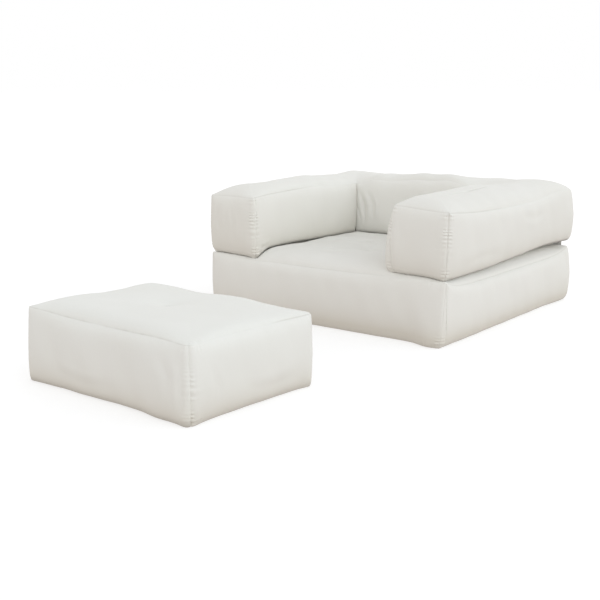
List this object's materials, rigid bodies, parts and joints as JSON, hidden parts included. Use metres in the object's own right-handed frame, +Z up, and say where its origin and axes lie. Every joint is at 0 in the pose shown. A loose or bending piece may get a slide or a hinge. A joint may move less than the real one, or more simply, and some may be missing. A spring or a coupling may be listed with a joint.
{
  "type": "chair bed",
  "caption": "Low foam armchair whose U-shaped arms and back fold over the rear edge to make a bed, with a loose footstool cushion that fills the hollow.",
  "frame": {"origin": "centre of the seat mattress's underside, on the floor", "axes": "+Z up, the chair's front faces -Y, +X to the right of someone who looks at the front"},
  "size_m": [1.0216, 2.0885, 0.4838],
  "materials": {
    "cotton_cover": "matte natural cotton twill",
    "cotton_base": "matte natural cotton twill",
    "foam": "open-cell polyurethane foam",
    "tuft": "cotton-covered button on waxed cord",
    "zip_tape": "woven polyester tape with coil teeth",
    "zip_slider": "satin paint"
  },
  "bodies": {
    "seat": {"seat_top_panel": "cotton_cover", "seat_front_panel": "cotton_cover", "seat_right_panel": "cotton_cover", "seat_rear_panel": "cotton_cover", "seat_left_panel": "cotton_cover", "seat_base_panel": "cotton_base", "seat_foam_core": "foam", "seat_tuft": "tuft", "seat_hinge_flap": "cotton_cover", "seat_zip": "zip_tape"},
    "seat_zip_slider": {"seat_zip_slider": "zip_slider"},
    "surround": {"surround_top_panel": "cotton_cover", "left_arm_outer_panel": "cotton_cover", "back_rear_panel": "cotton_cover", "right_arm_outer_panel": "cotton_cover", "left_arm_inner_panel": "cotton_cover", "back_inner_panel": "cotton_cover", "right_arm_inner_panel": "cotton_cover", "left_arm_front_panel": "cotton_cover", "right_arm_front_panel": "cotton_cover", "surround_base_panel": "cotton_base", "left_arm_foam": "foam", "back_foam": "foam", "right_arm_foam": "foam", "surround_hinge_flap": "cotton_cover", "surround_zip": "zip_tape"},
    "surround_zip_slider": {"surround_zip_slider": "zip_slider"},
    "footstool": {"stool_top_panel": "cotton_cover", "stool_front_panel": "cotton_cover", "stool_right_panel": "cotton_cover", "stool_rear_panel": "cotton_cover", "stool_left_panel": "cotton_cover", "stool_base_panel": "cotton_base", "stool_foam_core": "foam", "stool_zip": "zip_tape"},
    "stool_tie": {"stool_tuft": "tuft"},
    "stool_zip_slider": {"stool_zip_slider": "zip_slider"}
  },
  "joints": [
    {"name": "surround_fold", "type": "hinge", "parent": "seat", "child": "surround", "pos_m": [0, 0.5097, 0.24213], "axis": [-1, 0, 0], "range_deg": [0, 180]},
    {"name": "footstool_carry", "type": "hinge", "parent": "seat", "child": "stool_tie", "pos_m": [0.0285, -0.0488, 0.12025], "axis": [-0.9997, -0.0224, 0], "range_deg": [0, 180]},
    {"name": "footstool_turn", "type": "hinge", "parent": "stool_tie", "child": "footstool", "pos_m": [0.057, -1.319, 0], "axis": [0, 0, 1], "range_deg": [-84.16, 0]},
    {"name": "seat_zip_slide", "type": "slide", "parent": "seat", "child": "seat_zip_slider", "axis": [1, 0, 0], "range_m": [0, 0.628]},
    {"name": "surround_zip_slide", "type": "slide", "parent": "surround", "child": "surround_zip_slider", "axis": [1, 0, 0], "range_m": [0, 0.628]},
    {"name": "stool_zip_slide", "type": "slide", "parent": "footstool", "child": "stool_zip_slider", "axis": [0.9984, -0.057, 0], "range_m": [0, 0.388]}
  ],
  "couplings": [
    {"joint": "footstool_turn", "follows": "footstool_carry", "ratio": -0.46756}
  ]
}
